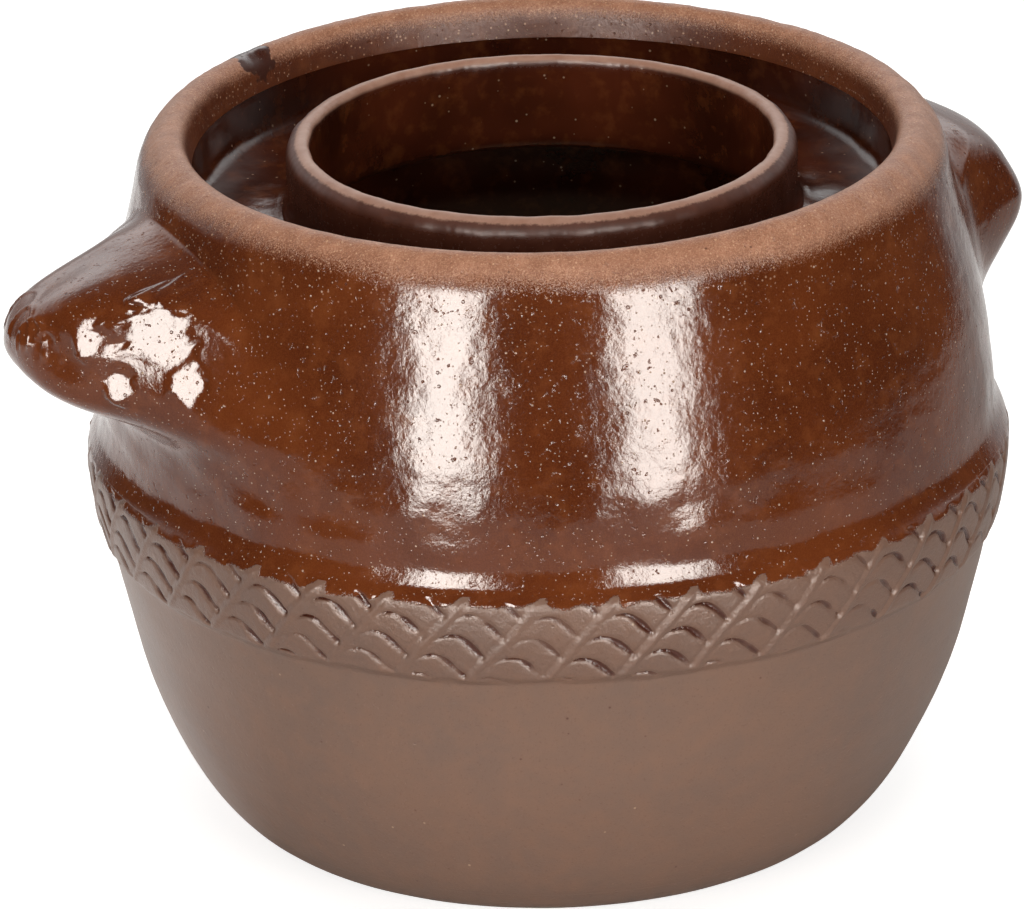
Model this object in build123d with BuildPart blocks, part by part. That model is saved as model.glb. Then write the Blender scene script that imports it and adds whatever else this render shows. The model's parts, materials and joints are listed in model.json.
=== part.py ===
"""Water-seal ceramic fermenting crock, as thrown and joined from separate clay pieces.

The pot stands on Z = 0 with its turning axis on Z. The two lug handles lie near +X and -X,
both swung a little towards +Y, as they were pressed on by hand. All sizes are in millimetres.
"""

import os

from build123d import *

os.makedirs("parts", exist_ok=True)

# Heights of the joints between the clay pieces
base_top = 10.0
band_bottom = 88.5
band_top = 117.0
rim_bottom = 200.0
rim_crest = 211.0

# Radii of the outer wall where the pieces meet
foot_radius = 88.0
base_edge_radius = 101.6
bowl_edge_radius = 129.6
band_foot_radius = 131.6
belly_radius = 135.0
wall_foot_radius = 133.4
rim_foot_radius = 117.6
wall_thickness = 9.0

# Water channel and the collar that a lid stands over
channel_outer_radius = 102.0
channel_floor = 184.0
channel_underside = 176.0
channel_corner = 3.0
gutter_back_bottom_radius = 113.0
gutter_back_top_radius = 109.0
collar_radius = 74.0
collar_root_radius = 76.0
mouth_radius = 67.0
collar_top = 206.5
collar_edge = 2.5

# Lug handles
lug_reach = 158.0
lug_tip_height = 170.0
lug_top = 196.0
lug_foot = 131.0
lug_root_radius = 128.5
lug_axis_radius = 116.0
lug_bearings = {"left_lug_handle": 176.5, "right_lug_handle": 3.5}

# Weight stones, two half discs that lie loose on the base
stone_radius = 63.0
stone_thickness = 20.0
stone_half_gap = 1.5
stone_clearance = 0.3
stone_edge = 4.0
stone_sides = {"left_weight_stone": 90.0, "right_weight_stone": -90.0}


# Base: the flat slab that the wall was raised from, with its rounded foot
with BuildPart() as base:
    with BuildSketch(Plane.XZ) as base_section:
        with BuildLine():
            Spline((foot_radius, 0), (96.2, 4.8), (base_edge_radius, base_top))
            Polyline((base_edge_radius, base_top), (0, base_top), (0, 0), (foot_radius, 0))
        make_face()
    revolve(axis=Axis.Z)
base.part.label = "base"
export_step(base.part, "parts/base.step")


# Lower bowl: the bare wall from the base up to the band
bowl_inner_foot = base_edge_radius - 1.4 * wall_thickness
with BuildPart() as lower_bowl:
    with BuildSketch(Plane.XZ) as bowl_section:
        with BuildLine():
            Spline(
                (base_edge_radius, base_top),
                (112.3, 29.0),
                (120.0, 48.0),
                (bowl_edge_radius, band_bottom),
            )
            Line(
                (bowl_edge_radius, band_bottom),
                (bowl_edge_radius - wall_thickness, band_bottom),
            )
            Spline(
                (bowl_edge_radius - wall_thickness, band_bottom),
                (111.0, 48.0),
                (102.6, 29.0),
                (bowl_inner_foot, base_top),
            )
            Line((bowl_inner_foot, base_top), (base_edge_radius, base_top))
        make_face()
    revolve(axis=Axis.Z)
lower_bowl.part.label = "lower_bowl"
export_step(lower_bowl.part, "parts/lower_bowl.step")


# Pattern band: the belly ring, proud of the bowl below it, which carries the stamping
with BuildPart() as pattern_band:
    with BuildSketch(Plane.XZ) as band_section:
        with BuildLine():
            ThreePointArc(
                (band_foot_radius, band_bottom),
                (belly_radius - 0.4, 0.5 * (band_bottom + band_top)),
                (belly_radius, band_top),
            )
            Line((belly_radius, band_top), (wall_foot_radius - wall_thickness, band_top))
            Line(
                (wall_foot_radius - wall_thickness, band_top),
                (bowl_edge_radius - wall_thickness, band_bottom),
            )
            Line(
                (bowl_edge_radius - wall_thickness, band_bottom),
                (band_foot_radius, band_bottom),
            )
        make_face()
    revolve(axis=Axis.Z)
pattern_band.part.label = "pattern_band"
export_step(pattern_band.part, "parts/pattern_band.step")


# Upper wall: from the band, through a slight waist, in over the shoulder to the rim
wall_outline = [
    (wall_foot_radius, band_top),
    (129.2, 138.0),
    (127.4, 158.0),
    (122.2, 178.0),
    (rim_foot_radius, rim_bottom),
]
with BuildPart() as upper_wall:
    with BuildSketch(Plane.XZ) as wall_section:
        with BuildLine():
            Spline(*wall_outline)
            Line((rim_foot_radius, rim_bottom), (gutter_back_top_radius, rim_bottom))
            Line(
                (gutter_back_top_radius, rim_bottom),
                (gutter_back_bottom_radius, channel_underside),
            )
            Spline(
                (gutter_back_bottom_radius, channel_underside),
                (118.4, 158.0),
                (120.2, 138.0),
                (wall_foot_radius - wall_thickness, band_top),
            )
            Line((wall_foot_radius - wall_thickness, band_top), (wall_foot_radius, band_top))
        make_face()
    revolve(axis=Axis.Z)
upper_wall.part.label = "upper_wall"
export_step(upper_wall.part, "parts/upper_wall.step")


# Water channel: the gutter ring set inside the top of the wall
with BuildPart() as water_channel:
    with BuildSketch(Plane.XZ) as channel_section:
        with BuildLine():
            Polyline(
                (collar_root_radius, channel_underside),
                (gutter_back_bottom_radius, channel_underside),
                (gutter_back_top_radius, rim_bottom),
                (channel_outer_radius, rim_bottom),
                (channel_outer_radius, channel_floor),
                (collar_root_radius, channel_floor),
                close=True,
            )
        make_face()
    revolve(axis=Axis.Z)
    floor_rings = water_channel.edges().filter_by(GeomType.CIRCLE)
    fillet(
        floor_rings.filter_by(
            lambda ring: abs(ring.radius - channel_outer_radius) < 0.1
            and abs(ring.center().Z - channel_floor) < 0.1
        ),
        radius=channel_corner,
    )
water_channel.part.label = "water_channel"
export_step(water_channel.part, "parts/water_channel.step")


# Inner collar: the neck that stands up out of the water, with a wider root in the floor
with BuildPart() as inner_collar:
    with BuildSketch(Plane.XZ) as collar_section:
        with BuildLine():
            Polyline(
                (mouth_radius, channel_underside),
                (collar_root_radius, channel_underside),
                (collar_root_radius, channel_floor),
                (collar_radius, channel_floor),
                (collar_radius, collar_top),
                (mouth_radius, collar_top),
                close=True,
            )
        make_face()
    revolve(axis=Axis.Z)
    fillet(inner_collar.edges().group_by(Axis.Z)[-1], radius=collar_edge)
inner_collar.part.label = "inner_collar"
export_step(inner_collar.part, "parts/inner_collar.step")


# Outer rim: the rounded bare lip that closes the wall and the gutter
with BuildPart() as outer_rim:
    with BuildSketch(Plane.XZ) as rim_section:
        with BuildLine():
            ThreePointArc((rim_foot_radius, rim_bottom), (114.6, 206.8), (107.7, rim_crest))
            ThreePointArc((107.7, rim_crest), (103.8, 209.2), (channel_outer_radius, 204.5))
            Polyline(
                (channel_outer_radius, 204.5),
                (channel_outer_radius, rim_bottom),
                (rim_foot_radius, rim_bottom),
            )
        make_face()
    revolve(axis=Axis.Z)
outer_rim.part.label = "outer_rim"
export_step(outer_rim.part, "parts/outer_rim.step")


# Lug handles: rounded ledges with a sloping top and an undercut that the fingers hook below,
# each turned about an upright axis just inside the wall and trimmed back to the wall's face
for lug_name, bearing in lug_bearings.items():
    with BuildPart() as lug:
        with BuildSketch(Plane.XZ.rotated((0, 0, bearing))) as lug_side:
            with BuildLine():
                Polyline(
                    (lug_reach - 9.0, lug_tip_height + 11.0),
                    (rim_foot_radius - 0.6, lug_top),
                    (lug_axis_radius, lug_top),
                    (lug_axis_radius, lug_foot),
                    (lug_root_radius, lug_foot),
                    (lug_reach - 8.0, lug_tip_height - 13.0),
                )
                ThreePointArc(
                    (lug_reach - 8.0, lug_tip_height - 13.0),
                    (lug_reach, lug_tip_height),
                    (lug_reach - 9.0, lug_tip_height + 11.0),
                )
            make_face()
        lug_axis = Axis((lug_axis_radius, 0, 0), (0, 0, 1)).located(Location((0, 0, 0), (0, 0, bearing)))
        revolve(axis=lug_axis)
        with BuildSketch(Plane.XZ) as wall_core:
            with BuildLine():
                Spline(*wall_outline)
                Polyline(
                    (rim_foot_radius, rim_bottom),
                    (0, rim_bottom),
                    (0, band_top),
                    (wall_foot_radius, band_top),
                )
            make_face()
        revolve(axis=Axis.Z, mode=Mode.SUBTRACT)
    lug.part.label = lug_name
    export_step(lug.part, f"parts/{lug_name}.step")


# Weight stones: half discs with eased edges, small enough to lift straight out of the mouth
stone_floor = base_top + stone_clearance
for stone_name, side in stone_sides.items():
    stone_plane = Plane.XY.offset(stone_floor).rotated((0, 0, side))
    with BuildPart() as stone:
        with BuildSketch(stone_plane) as half_disc:
            Circle(stone_radius)
            with Locations((0, -stone_radius)):
                Rectangle(2 * stone_radius, 2 * (stone_radius + stone_half_gap), mode=Mode.SUBTRACT)
        extrude(amount=stone_thickness)
        fillet(stone.edges(), radius=stone_edge)
    stone.part.label = stone_name
    export_step(stone.part, f"parts/{stone_name}.step")
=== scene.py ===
import json
import math

import bpy
import numpy as np
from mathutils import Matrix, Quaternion, Vector


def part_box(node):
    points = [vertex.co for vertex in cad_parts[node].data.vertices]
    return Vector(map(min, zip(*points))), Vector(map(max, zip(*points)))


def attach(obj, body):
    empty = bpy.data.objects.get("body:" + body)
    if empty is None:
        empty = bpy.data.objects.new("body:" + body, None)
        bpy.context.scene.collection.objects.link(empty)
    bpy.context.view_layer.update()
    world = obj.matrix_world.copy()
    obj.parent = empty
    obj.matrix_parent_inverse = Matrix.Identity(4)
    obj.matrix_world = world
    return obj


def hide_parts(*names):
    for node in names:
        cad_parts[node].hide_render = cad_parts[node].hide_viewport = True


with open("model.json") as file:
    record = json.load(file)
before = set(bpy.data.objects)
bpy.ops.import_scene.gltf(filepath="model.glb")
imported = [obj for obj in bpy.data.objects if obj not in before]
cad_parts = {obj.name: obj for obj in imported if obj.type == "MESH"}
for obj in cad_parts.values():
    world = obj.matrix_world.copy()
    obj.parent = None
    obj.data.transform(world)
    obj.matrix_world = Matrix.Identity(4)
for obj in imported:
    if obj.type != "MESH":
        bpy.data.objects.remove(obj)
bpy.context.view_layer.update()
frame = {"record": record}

# The CAD box, straight after loading. The crock is worked out in millimetres and turned into
# metres when a mesh is made. The floor, the lamps and the camera are given in metres.
MM = 0.001


def node_box(node):
    """Lowest and highest corner of a CAD node, in millimetres."""
    low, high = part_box(node)
    return np.array(low) / MM, np.array(high) / MM


# ---------------------------------------------------------------- sizes read from the frame

base_top = node_box("base")[1][2]
band_low = node_box("pattern_band")[0][2]
band_high = node_box("pattern_band")[1][2]
wall_top = node_box("outer_rim")[0][2]
rim_crest = node_box("outer_rim")[1][2]
belly = node_box("pattern_band")[1][0]
channel_under = node_box("water_channel")[0][2]
channel_back = node_box("water_channel")[1][0]
channel_back_top = channel_back - 4.0
collar_root = node_box("inner_collar")[1][0]
collar_top = node_box("inner_collar")[1][2]

collar_outer = collar_root - 2.0
mouth = collar_outer - 7.0
channel_floor = channel_under + 8.0
channel_wall = 102.0


# ---------------------------------------------------------------- number helpers

def smooth(value):
    """0 below 0, 1 above 1, and an S curve between."""
    t = np.clip(value, 0.0, 1.0)
    return t * t * (3.0 - 2.0 * t)


def spline(knots, x):
    """A natural cubic spline through the knots, a list of (x, y), read at x."""
    xs, ys = np.array(knots, float).T
    gap = np.diff(xs)
    count = len(xs)
    matrix = np.eye(count)
    right = np.zeros(count)
    for i in range(1, count - 1):
        matrix[i, i - 1:i + 2] = gap[i - 1], 2.0 * (gap[i - 1] + gap[i]), gap[i]
        right[i] = 6.0 * ((ys[i + 1] - ys[i]) / gap[i] - (ys[i] - ys[i - 1]) / gap[i - 1])
    bend = np.linalg.solve(matrix, right)
    x = np.clip(x, xs[0], xs[-1])
    i = np.clip(np.searchsorted(xs, x) - 1, 0, count - 2)
    a = xs[i + 1] - x
    b = x - xs[i]
    h = gap[i]
    return (
        (bend[i] * a ** 3 + bend[i + 1] * b ** 3) / (6.0 * h)
        + (ys[i] / h - bend[i] * h / 6.0) * a
        + (ys[i + 1] / h - bend[i + 1] * h / 6.0) * b
    )


TYPICAL_RADIUS = 125.0


def ripple(angle, height, seed, wavelength, count=22):
    """Smooth unevenness round the pot with unit strength and that typical wavelength in mm."""
    draw = np.random.default_rng(seed)
    total = np.zeros(np.broadcast(angle, height).shape)
    for _ in range(count):
        course = draw.uniform(0.0, math.tau)
        wave = 1.0 / (wavelength * draw.uniform(0.7, 1.6))
        turns = round(math.tau * TYPICAL_RADIUS * wave * math.cos(course))
        rise = math.tau * wave * math.sin(course)
        total += np.cos(turns * angle + rise * height + draw.uniform(0.0, math.tau))
    return total * math.sqrt(2.0 / count)


# ---------------------------------------------------------------- the outer wall as a formula

BOWL_OUTLINE = [
    (0.0, 88.0), (1.2, 91.2), (3.2, 94.6), (6.0, 97.7), (10.0, 101.2), (15.5, 105.1),
    (29.0, 112.3), (48.0, 119.9), (67.5, 125.0), (80.0, 127.9), (89.5, 129.9),
]
WALL_OUTLINE = [
    (88.0, 130.6), (92.0, 132.4), (97.0, 133.6), (104.0, 134.8), (111.0, 135.3),
    (116.0, 135.1), (118.5, 134.4), (121.5, 132.8), (126.0, 131.5), (132.0, 130.7),
    (140.0, 129.8), (151.0, 128.4), (160.0, 126.9), (170.0, 124.7), (180.0, 122.2),
    (190.0, 119.8), (200.0, 117.6), (204.0, 116.6),
]
INSIDE_OUTLINE = [
    (10.0, 89.0), (14.0, 94.5), (29.0, 102.6), (48.0, 111.0), (88.5, 120.6), (117.0, 124.4),
    (138.0, 120.2), (158.0, 118.4), (176.0, 113.0),
]

# Lug handles: bearing from +X in degrees, how far they stand out of the wall in mm, which way
# round the front of the pot lies, the share of the reach at distances round the wall (towards
# the front and the back), and how that share rises and falls with height, read at the heights
# in LUG_LEVELS for a few places round the wall (towards the back first)
LUG_LEVELS = (-42, -37, -30, -24, -18, -12, -6, 1, 7, 12, 16, 20, 24, 28, 31)
LUGS = {
    "left_lug_handle": {
        "bearing": 179.5,
        "reach": 40.8,
        "front": 1.0,
        "to_front": [
            (0.0, 1.0), (5.0, 0.97), (10.0, 0.89), (15.0, 0.77), (19.0, 0.64), (22.5, 0.52),
            (28.0, 0.36), (34.0, 0.225), (40.0, 0.125), (46.0, 0.055), (54.0, 0.01), (60.0, 0.0),
        ],
        "to_back": [
            (0.0, 1.0), (10.0, 0.965), (18.0, 0.875), (27.0, 0.70), (37.0, 0.31), (46.0, 0.07),
            (54.0, 0.01), (60.0, 0.0),
        ],
        "shares": {
            -28: (0, .02, .12, .32, .54, .74, .90, .93, .78, .52, .31, .17, .08, .02, 0),
            -8: (0, .01, .04, .17, .43, .73, .94, 1, .98, .89, .74, .53, .31, .12, 0),
            12: (0, .01, .04, .17, .51, .78, .88, .95, 1, 1, .93, .70, .34, .08, 0),
            32: (0, .01, .05, .22, .52, .75, .87, .95, 1, .98, .86, .60, .30, .08, 0),
        },
    },
    "right_lug_handle": {
        "bearing": 4.2,
        "reach": 33.7,
        "front": -1.0,
        "to_front": [
            (0.0, 1.0), (13.5, 0.935), (24.0, 0.766), (34.0, 0.34), (42.0, 0.11), (50.0, 0.02),
            (56.0, 0.0), (60.0, 0.0),
        ],
        "to_back": [
            (0.0, 1.0), (13.5, 0.935), (27.0, 0.72), (37.0, 0.36), (46.0, 0.09), (54.0, 0.01),
            (60.0, 0.0),
        ],
        "shares": {
            0: (0, .04, .21, .33, .50, .68, .78, .82, .79, .72, .62, .45, .22, .04, 0),
            18: (0, .02, .12, .32, .53, .72, .83, .85, .81, .74, .63, .45, .22, .04, 0),
        },
    },
}
LUG_HEIGHT = 169.0
LUG_RADIUS = 123.0
LUG_PATCH = (62.0, 37.5)
LUG_PATCH_CENTRE = -7.5
SEAM_DIP = 0.012
POCKET = 2.5

# The smear of clay that ties the left lug to the wall in front of it
WING_REACH = 3.4
WING_ALONG = [
    (-8.0, 0.0), (8.0, 0.25), (25.0, 0.9), (40.0, 1.0), (58.0, 0.6), (76.0, 0.12), (86.0, 0.0),
]
WING_UPWARD = [
    (-36.0, 0.0), (-30.0, 0.06), (-25.0, 0.35), (-20.0, 0.86), (-14.0, 1.0), (-4.0, 0.8),
    (8.0, 0.4), (20.0, 0.08), (27.0, 0.0),
]

# Where the waist above the band is drawn in on the front of the pot, in mm
FRONT_BEARING = -114.5
FRONT_WAIST = [
    (113.0, 0.0), (115.0, 0.3), (116.0, 0.9), (117.5, 2.1), (119.0, 2.4), (121.0, 2.05),
    (123.0, 1.6), (126.0, 1.0), (130.0, 0.45), (135.0, 0.15), (140.0, 0.03), (145.0, 0.0),
]

# Middle and foot of each curved finger mark on the left lug, its size, and its squash sideways
FINGER_MARKS = [
    (-5.0, 3.0, 11.0, 1.5), (0.0, 4.0, 8.5, 1.8), (4.5, 2.0, 9.0, 2.4), (8.5, 1.0, 8.0, 2.8),
]

# Places on the left lug that a thumb pressed flat: middle round the wall and level, half sizes,
# slant, and the bearing and the upward tilt that each faces. The first parts the others.
FLATS = [
    (20.6, 9.5, 4.2, 6.5, 0.0, -120.0, -2.0),
    (28.8, 11.4, 8.8, 12.4, 0.42, -124.6, 15.0),
    (17.0, 6.8, 3.2, 7.5, 0.0, -124.6, 11.0),
    (37.4, -3.0, 5.6, 8.1, 0.0, -124.6, 13.0),
    (22.7, -5.5, 3.7, 7.0, 0.0, -124.6, 11.0),
]


def inside_knots(knots, x):
    """The spline through the knots, 0 outside them and never below 0."""
    inner = (x > knots[0][0]) & (x < knots[-1][0])
    return np.where(inner, np.clip(spline(knots, x), 0.0, 1.3 * max(k[1] for k in knots)), 0.0)


def arc_from(angle, bearing):
    """Distance in mm round the wall from a lug's middle."""
    turn = (angle - math.radians(bearing) + math.pi) % math.tau - math.pi
    return turn * LUG_RADIUS


def finger_marks(across, up):
    """The thin curved ridges that fingers left on the end of the left lug."""
    marks = np.zeros(np.broadcast(across, up).shape)
    for middle, foot, size, squash in FINGER_MARKS:
        away = np.hypot((across - middle) * squash, up - foot)
        ring = np.exp(-((away - size) / 0.65) ** 2)
        marks += ring * smooth((up - foot + 4.0) / 4.0)
    return 0.75 * marks


def lug_patch(angle, height, lug):
    """0 in the middle of a lug's footprint, 1 on its edge, more outside."""
    across = arc_from(angle, LUGS[lug]["bearing"]) / LUG_PATCH[0]
    up = (height - LUG_HEIGHT - LUG_PATCH_CENTRE) / LUG_PATCH[1]
    return np.hypot(across, up)


def lug_bump(angle, height, lug):
    """How far a lug stands out of the wall here."""
    facts = LUGS[lug]
    across = arc_from(angle, facts["bearing"]) * facts["front"]
    up = height - LUG_HEIGHT
    front = inside_knots([(-1.0, 1.0)] + facts["to_front"], across)
    back = inside_knots([(-1.0, 1.0)] + facts["to_back"], -across)
    side = np.where(across > 0.0, front, back)
    places = list(facts["shares"])
    rises = [inside_knots(list(zip(LUG_LEVELS, row)), up) for row in facts["shares"].values()]
    rise = rises[0]
    for i in range(1, len(places)):
        blend = smooth((across - places[i - 1]) / (places[i] - places[i - 1]))
        rise = rise + (rises[i] - rises[i - 1]) * blend
    bump = facts["reach"] * side * rise
    solid = smooth(bump / 14.0 - 0.3)
    bump = bump + 0.3 * solid * ripple(angle, height, 71, 26.0)
    if lug == "left_lug_handle":
        bump = bump + finger_marks(across, up) * solid
        sideways = (across - 13.0 + 0.35 * up) / 5.0
        bump = bump - 1.9 * np.exp(-sideways ** 2 - ((up - 4.0) / 13.0) ** 2)
    return bump * smooth((0.995 - lug_patch(angle, height, lug)) / 0.16)


def thrown(angle, height):
    """The broad unevenness of a pot thrown by hand."""
    oval = 0.25 * np.cos(2.0 * angle + 0.6) + 0.15 * np.cos(3.0 * angle - 1.1 + height / 70.0)
    rings = 0.012 * np.sin(height * math.tau / 7.5 + 0.6 * np.sin(angle + 0.5))
    slump = 1.0 * np.cos(angle - math.radians(156.0)) * smooth((75.0 - height) / 60.0)
    facing = (0.5 + 0.5 * np.cos(angle - math.radians(FRONT_BEARING))) ** 2
    waist = inside_knots(FRONT_WAIST, height) * facing
    along = arc_from(angle, LUGS["left_lug_handle"]["bearing"])
    wing = inside_knots(WING_ALONG, along) * inside_knots(WING_UPWARD, height - LUG_HEIGHT)
    return (oval + rings) * smooth(height / 30.0) + slump - waist + WING_REACH * wing


def skin(angle, height):
    """The glaze's orange peel and the flatter surface of the bare clay."""
    glazed = smooth((height - band_high - 1.0) / 5.0) * smooth((wall_top + 6.0 - height) / 6.0)
    glaze = 0.030 * ripple(angle, height, 11, 17.0) + 0.015 * ripple(angle, height, 12, 5.5, 40)
    left = smooth(0.5 + 0.9 * np.cos(angle - math.radians(-165.0)))
    uneven = (0.06 + 0.12 * left) * np.exp(-((height - 134.0) / 12.0) ** 2)
    glaze = glaze + uneven * ripple(angle, height, 14, 20.0, 36)
    clay = 0.04 * ripple(angle, height, 13, 26.0)
    return clay + glazed * glaze


# ---------------------------------------------------------------- the stamped belly band

STAMPS = 39
STAMP_START = 8.9
BAR_SLOPE = 0.81
BAR_COSINE = 0.777
WAVE_STEP = 6.6
WAVE_LINE = [
    (0.06, -2.1), (0.14, -0.5), (0.24, 0.0), (0.36, -0.5), (0.52, -2.1), (0.74, -4.7), (1.0, -7.9),
]


def stamping(angle, height):
    """The lattice: relief in mm, glaze lying in the grooves (0 to 1), and the bars (0 to 1)."""
    pitch = math.tau * belly / STAMPS
    draw = np.random.default_rng(5)
    shift = draw.uniform(-0.45, 0.45, STAMPS)
    depth = draw.uniform(0.8, 1.15, STAMPS)
    along = angle * belly - STAMP_START + 0.3 * ripple(angle, height, 21, 30.0)
    up = height - band_low + 0.3 * ripple(angle, height, 22, 24.0)
    cell_place = (along - BAR_SLOPE * up) / pitch
    cell = np.floor(cell_place).astype(int) % STAMPS
    part = cell_place - np.floor(cell_place)

    line = spline(WAVE_LINE, part)
    fall = (spline(WAVE_LINE, part + 0.01) - spline(WAVE_LINE, part - 0.01)) / 0.02
    run = pitch + BAR_SLOPE * fall
    lean = np.abs(run) / np.hypot(run, fall)
    offset = up - 3.4 - shift[cell] - line
    step = offset - WAVE_STEP * np.round(offset / WAVE_STEP)
    across = step * lean
    below = np.mod(-offset / WAVE_STEP, 1.0)

    ends = smooth((part - 0.05) / 0.13) * smooth((0.97 - part) / 0.07)
    width = 0.40 + 0.26 * np.exp(-((part - 0.6) / 0.25) ** 2)
    groove = np.exp(-(across / width) ** 2) * ends
    groove = groove * (0.8 + 0.25 * np.clip(ripple(angle, height, 24, 9.0), -1.5, 1.0))
    bulge = 0.62 * np.sqrt(below + 0.02) * (1.0 - below) * ends
    to_bar = np.minimum(part, 1.0 - part) * pitch * BAR_COSINE
    bar = 0.55 * np.exp(-(to_bar / 1.0) ** 2)
    beside = 0.3 * np.exp(-(((part - 1.0) * pitch * BAR_COSINE + 2.0) / 0.6) ** 2)

    worn = 0.78 + 0.22 * np.clip(ripple(angle, height, 23, 60.0), -1.6, 1.0)
    edge = smooth((up - 0.8) / 4.0) * smooth((band_high - band_low - 0.3 - up) / 1.4)
    strength = depth[cell] * worn * edge
    relief = strength * (bulge + bar - 1.1 * groove - beside) - 0.2 * edge
    lip = 0.18 * np.exp(-((up - 2.0) / 1.2) ** 2)
    relief = relief + lip * (1.0 + ripple(angle, height, 25, 12.0))
    return relief, np.clip(groove * strength * 1.2, 0.0, 1.0), np.exp(-(to_bar / 1.7) ** 2)


# ---------------------------------------------------------------- the surfaces put together

def pressed_flat(angle, height, radius):
    """The surface with the thumb's flats pressed into the left lug."""
    lug_bearing = LUGS["left_lug_handle"]["bearing"]
    across = arc_from(angle, lug_bearing)
    up = height - LUG_HEIGHT
    ragged = 0.06 * ripple(angle, height, 81, 7.0, 30) + 0.03 * ripple(angle, height, 82, 2.6, 40)
    uneven = 0.045 * ripple(angle, height, 83, 8.0, 30) + 0.018 * ripple(angle, height, 84, 3.0, 40)
    for middle, level, half_across, half_up, slant, facing, tilt in FLATS:
        facing = math.radians(facing)
        tilt = math.radians(tilt)
        at = np.array([math.radians(lug_bearing) + middle / LUG_RADIUS])
        anchor = full_radius(at, np.array([LUG_HEIGHT + level]))[0]
        ahead = anchor * math.cos(at[0] - facing) * math.cos(tilt)
        plane = ahead + (LUG_HEIGHT + level) * math.sin(tilt)
        along = math.cos(tilt) * np.maximum(np.cos(angle - facing), 0.2)
        flat = (plane - height * math.sin(tilt)) / along
        sideways = across - middle + slant * (up - level)
        away = np.hypot(sideways / half_across, (up - level) / half_up) + ragged
        radius = radius + (flat + uneven - radius) * smooth((1.0 - away) / 0.5)
    return radius


def outer_radius(angle, height):
    """Radius of the finished outer surface at an angle and a height."""
    return pressed_flat(angle, height, full_radius(angle, height))


def full_radius(angle, height, lugs=True):
    """Radius of the outer surface before the thumb's flats, with or without the lugs."""
    wall = spline(WALL_OUTLINE, height)
    bowl = spline(BOWL_OUTLINE, height)
    step = band_low + 0.9 + 0.5 * np.cos(angle * 5.0 + 1.0) * np.cos(angle * 11.0)
    radius = bowl + (wall - bowl) * smooth((height - step) / 3.6 + 0.3)
    radius = radius + thrown(angle, height) + skin(angle, height)
    if lugs:
        for lug in LUGS:
            radius = radius + lug_bump(angle, height, lug)
    return radius


def inner_radius(angle, height):
    """Radius of the wall's inside, with the rings that the thrower's fingers left."""
    rings = 0.35 * np.sin(height * math.tau / 8.0 + angle)
    return spline(INSIDE_OUTLINE, height) + rings * smooth((height - 12.0) / 8.0)


# ---------------------------------------------------------------- mesh helpers

def build(name, node, points, faces, materials, slots=None, tints=None):
    """A closed smooth mesh from points in mm and faces, riding on its node's body."""
    mesh = bpy.data.meshes.new(name)
    mesh.from_pydata((np.asarray(points) * MM).tolist(), [], faces)
    for material in materials:
        mesh.materials.append(material)
    if slots is not None:
        mesh.polygons.foreach_set("material_index", np.asarray(slots, dtype=np.int32))
    for label, values in (tints or {}).items():
        layer = mesh.attributes.new(label, "FLOAT", "POINT")
        layer.data.foreach_set("value", np.asarray(values, dtype=np.float32).ravel())
    mesh.polygons.foreach_set("use_smooth", np.ones(len(mesh.polygons), dtype=bool))
    mesh.set_sharp_from_angle(angle=math.radians(62.0))
    mesh.update()
    piece = bpy.data.objects.new(name, mesh)
    bpy.context.scene.collection.objects.link(piece)
    bodies = frame["record"]["behaviour"]["bodies"]
    body = next(b for b, members in bodies.items() if node in members)
    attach(piece, body)
    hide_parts(node)
    return piece


def ring_faces(rows, columns):
    """Quads of a grid that closes on itself both ways."""
    row, column = np.meshgrid(np.arange(rows), np.arange(columns), indexing="ij")
    next_row = (row + 1) % rows
    next_column = (column + 1) % columns
    quads = np.stack([
        row * columns + column,
        row * columns + next_column,
        next_row * columns + next_column,
        next_row * columns + column,
    ], -1)
    return quads.reshape(-1, 4)


def lathe(name, node, radius, height, angle, materials, inside_rows=(), tints=None):
    """A closed ring. radius and height are rows by columns, listed round the section."""
    rows, columns = radius.shape
    points = np.stack([radius * np.cos(angle), radius * np.sin(angle), height], -1)
    quads = ring_faces(rows, columns)
    slots = np.isin(quads[:, 0] // columns, list(inside_rows)).astype(int)
    flat = points.reshape(-1, 3)
    return build(name, node, flat, quads.tolist(), materials, slots, tints)


def round_angles(columns):
    """Angles of that many columns round the pot."""
    return np.arange(columns)[None, :] * math.tau / columns


def widen(rows, angle):
    """The same value all round for each row."""
    return rows + np.zeros_like(angle)


def section_rows(knots, spacing):
    """Points along a polyline of (radius, height) knots, no further apart than spacing."""
    out = []
    for start, end in zip(knots[:-1], knots[1:]):
        start = np.array(start, float)
        end = np.array(end, float)
        count = max(1, int(math.ceil(np.linalg.norm(end - start) / spacing)))
        out += [start + (end - start) * i / count for i in range(count)]
    return out + [np.array(knots[-1], float)]


def curved_rows(knots, spacing):
    """Points along a smooth curve through (radius, height) knots, evenly spaced."""
    knots = np.array(knots, float)
    gaps = np.hypot(*np.diff(knots, axis=0).T)
    place = np.concatenate([[0.0], np.cumsum(gaps)])
    count = max(2, int(math.ceil(place[-1] / spacing)) + 1)
    at = np.linspace(0.0, place[-1], count)
    radius = spline(list(zip(place, knots[:, 0])), at)
    height = spline(list(zip(place, knots[:, 1])), at)
    return list(np.stack([radius, height], -1))


# ---------------------------------------------------------------- materials

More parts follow.
